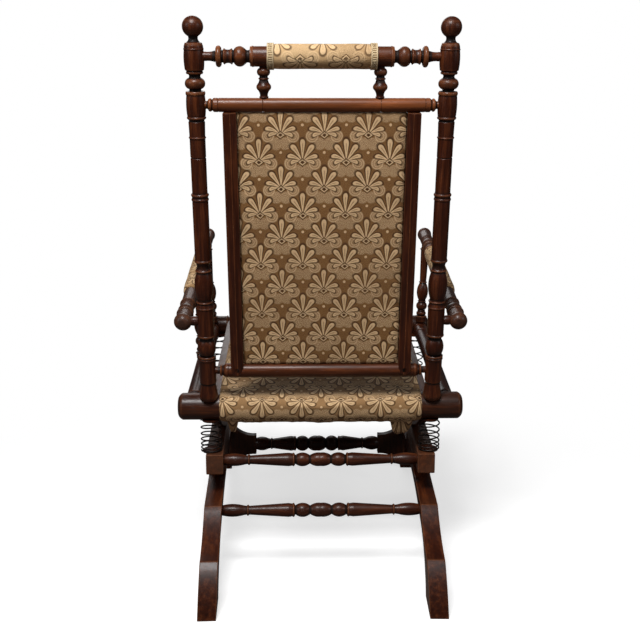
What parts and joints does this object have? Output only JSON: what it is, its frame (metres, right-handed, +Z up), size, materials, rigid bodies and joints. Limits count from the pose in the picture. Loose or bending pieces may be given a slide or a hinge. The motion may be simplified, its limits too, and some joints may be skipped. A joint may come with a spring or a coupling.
{
  "type": "platform rocker",
  "caption": "Turned-wood platform rocking chair: padded seat, back and arm rests on a fixed base, rocked on curved boards and held by coil springs.",
  "frame": {"origin": "on the floor, at the middle of the base, straight below the line that the chair rocks on", "axes": "+Z up, the sitter faces -Y, +X to the sitter's left"},
  "size_m": [0.58, 0.8847, 1.082],
  "materials": {
    "dark_wood": "satin, shellacked",
    "tapestry": "woven tapestry",
    "spring_steel": "dark, japanned",
    "braid": "woven braid",
    "webbing": "plain weave"
  },
  "bodies": {
    "base": {"base_rail_left": "dark_wood", "base_rail_right": "dark_wood", "leg_front_left": "dark_wood", "leg_front_right": "dark_wood", "leg_rear_left": "dark_wood", "leg_rear_right": "dark_wood", "leg_screws": "spring_steel", "spring_front_left": "spring_steel", "spring_front_right": "spring_steel", "spring_plugs_base": "dark_wood", "spring_rear_left": "spring_steel", "spring_rear_right": "spring_steel", "stretcher_bracket_left": "dark_wood", "stretcher_bracket_right": "dark_wood", "stretcher_front_lower": "dark_wood", "stretcher_front_upper": "dark_wood", "stretcher_rear_lower": "dark_wood", "stretcher_rear_upper": "dark_wood"},
    "chair": {"arm_dowels": "dark_wood", "arm_left": "dark_wood", "arm_pad_left": "tapestry", "arm_pad_right": "tapestry", "arm_right": "dark_wood", "arm_spindle_front_left": "dark_wood", "arm_spindle_front_right": "dark_wood", "arm_spindle_rear_left": "dark_wood", "arm_spindle_rear_right": "dark_wood", "back_cloth": "tapestry", "back_pad": "tapestry", "back_post_left": "dark_wood", "back_post_right": "dark_wood", "back_rail_bottom": "dark_wood", "back_rail_top": "dark_wood", "back_stile_left": "dark_wood", "back_stile_right": "dark_wood", "crest_rail": "dark_wood", "crest_spindle_left": "dark_wood", "crest_spindle_right": "dark_wood", "head_roll": "tapestry", "head_roll_braid": "braid", "rocker_left": "dark_wood", "rocker_right": "dark_wood", "seat_pad": "tapestry", "seat_rail_front": "dark_wood", "seat_rail_rear": "dark_wood", "seat_rail_side_left": "dark_wood", "seat_rail_side_right": "dark_wood", "seat_webbing": "webbing", "spring_plugs_chair": "dark_wood", "stile_screws": "spring_steel"}
  },
  "joints": [
    {"name": "rocking", "type": "hinge", "parent": "base", "child": "chair", "pos_m": [0, 0, 0.2914], "axis": [1, 0, 0], "range_deg": [-10, 8], "stiffness_Nm_per_rad": 160, "deforming": ["spring_front_left", "spring_front_right", "spring_rear_left", "spring_rear_right"]}
  ]
}
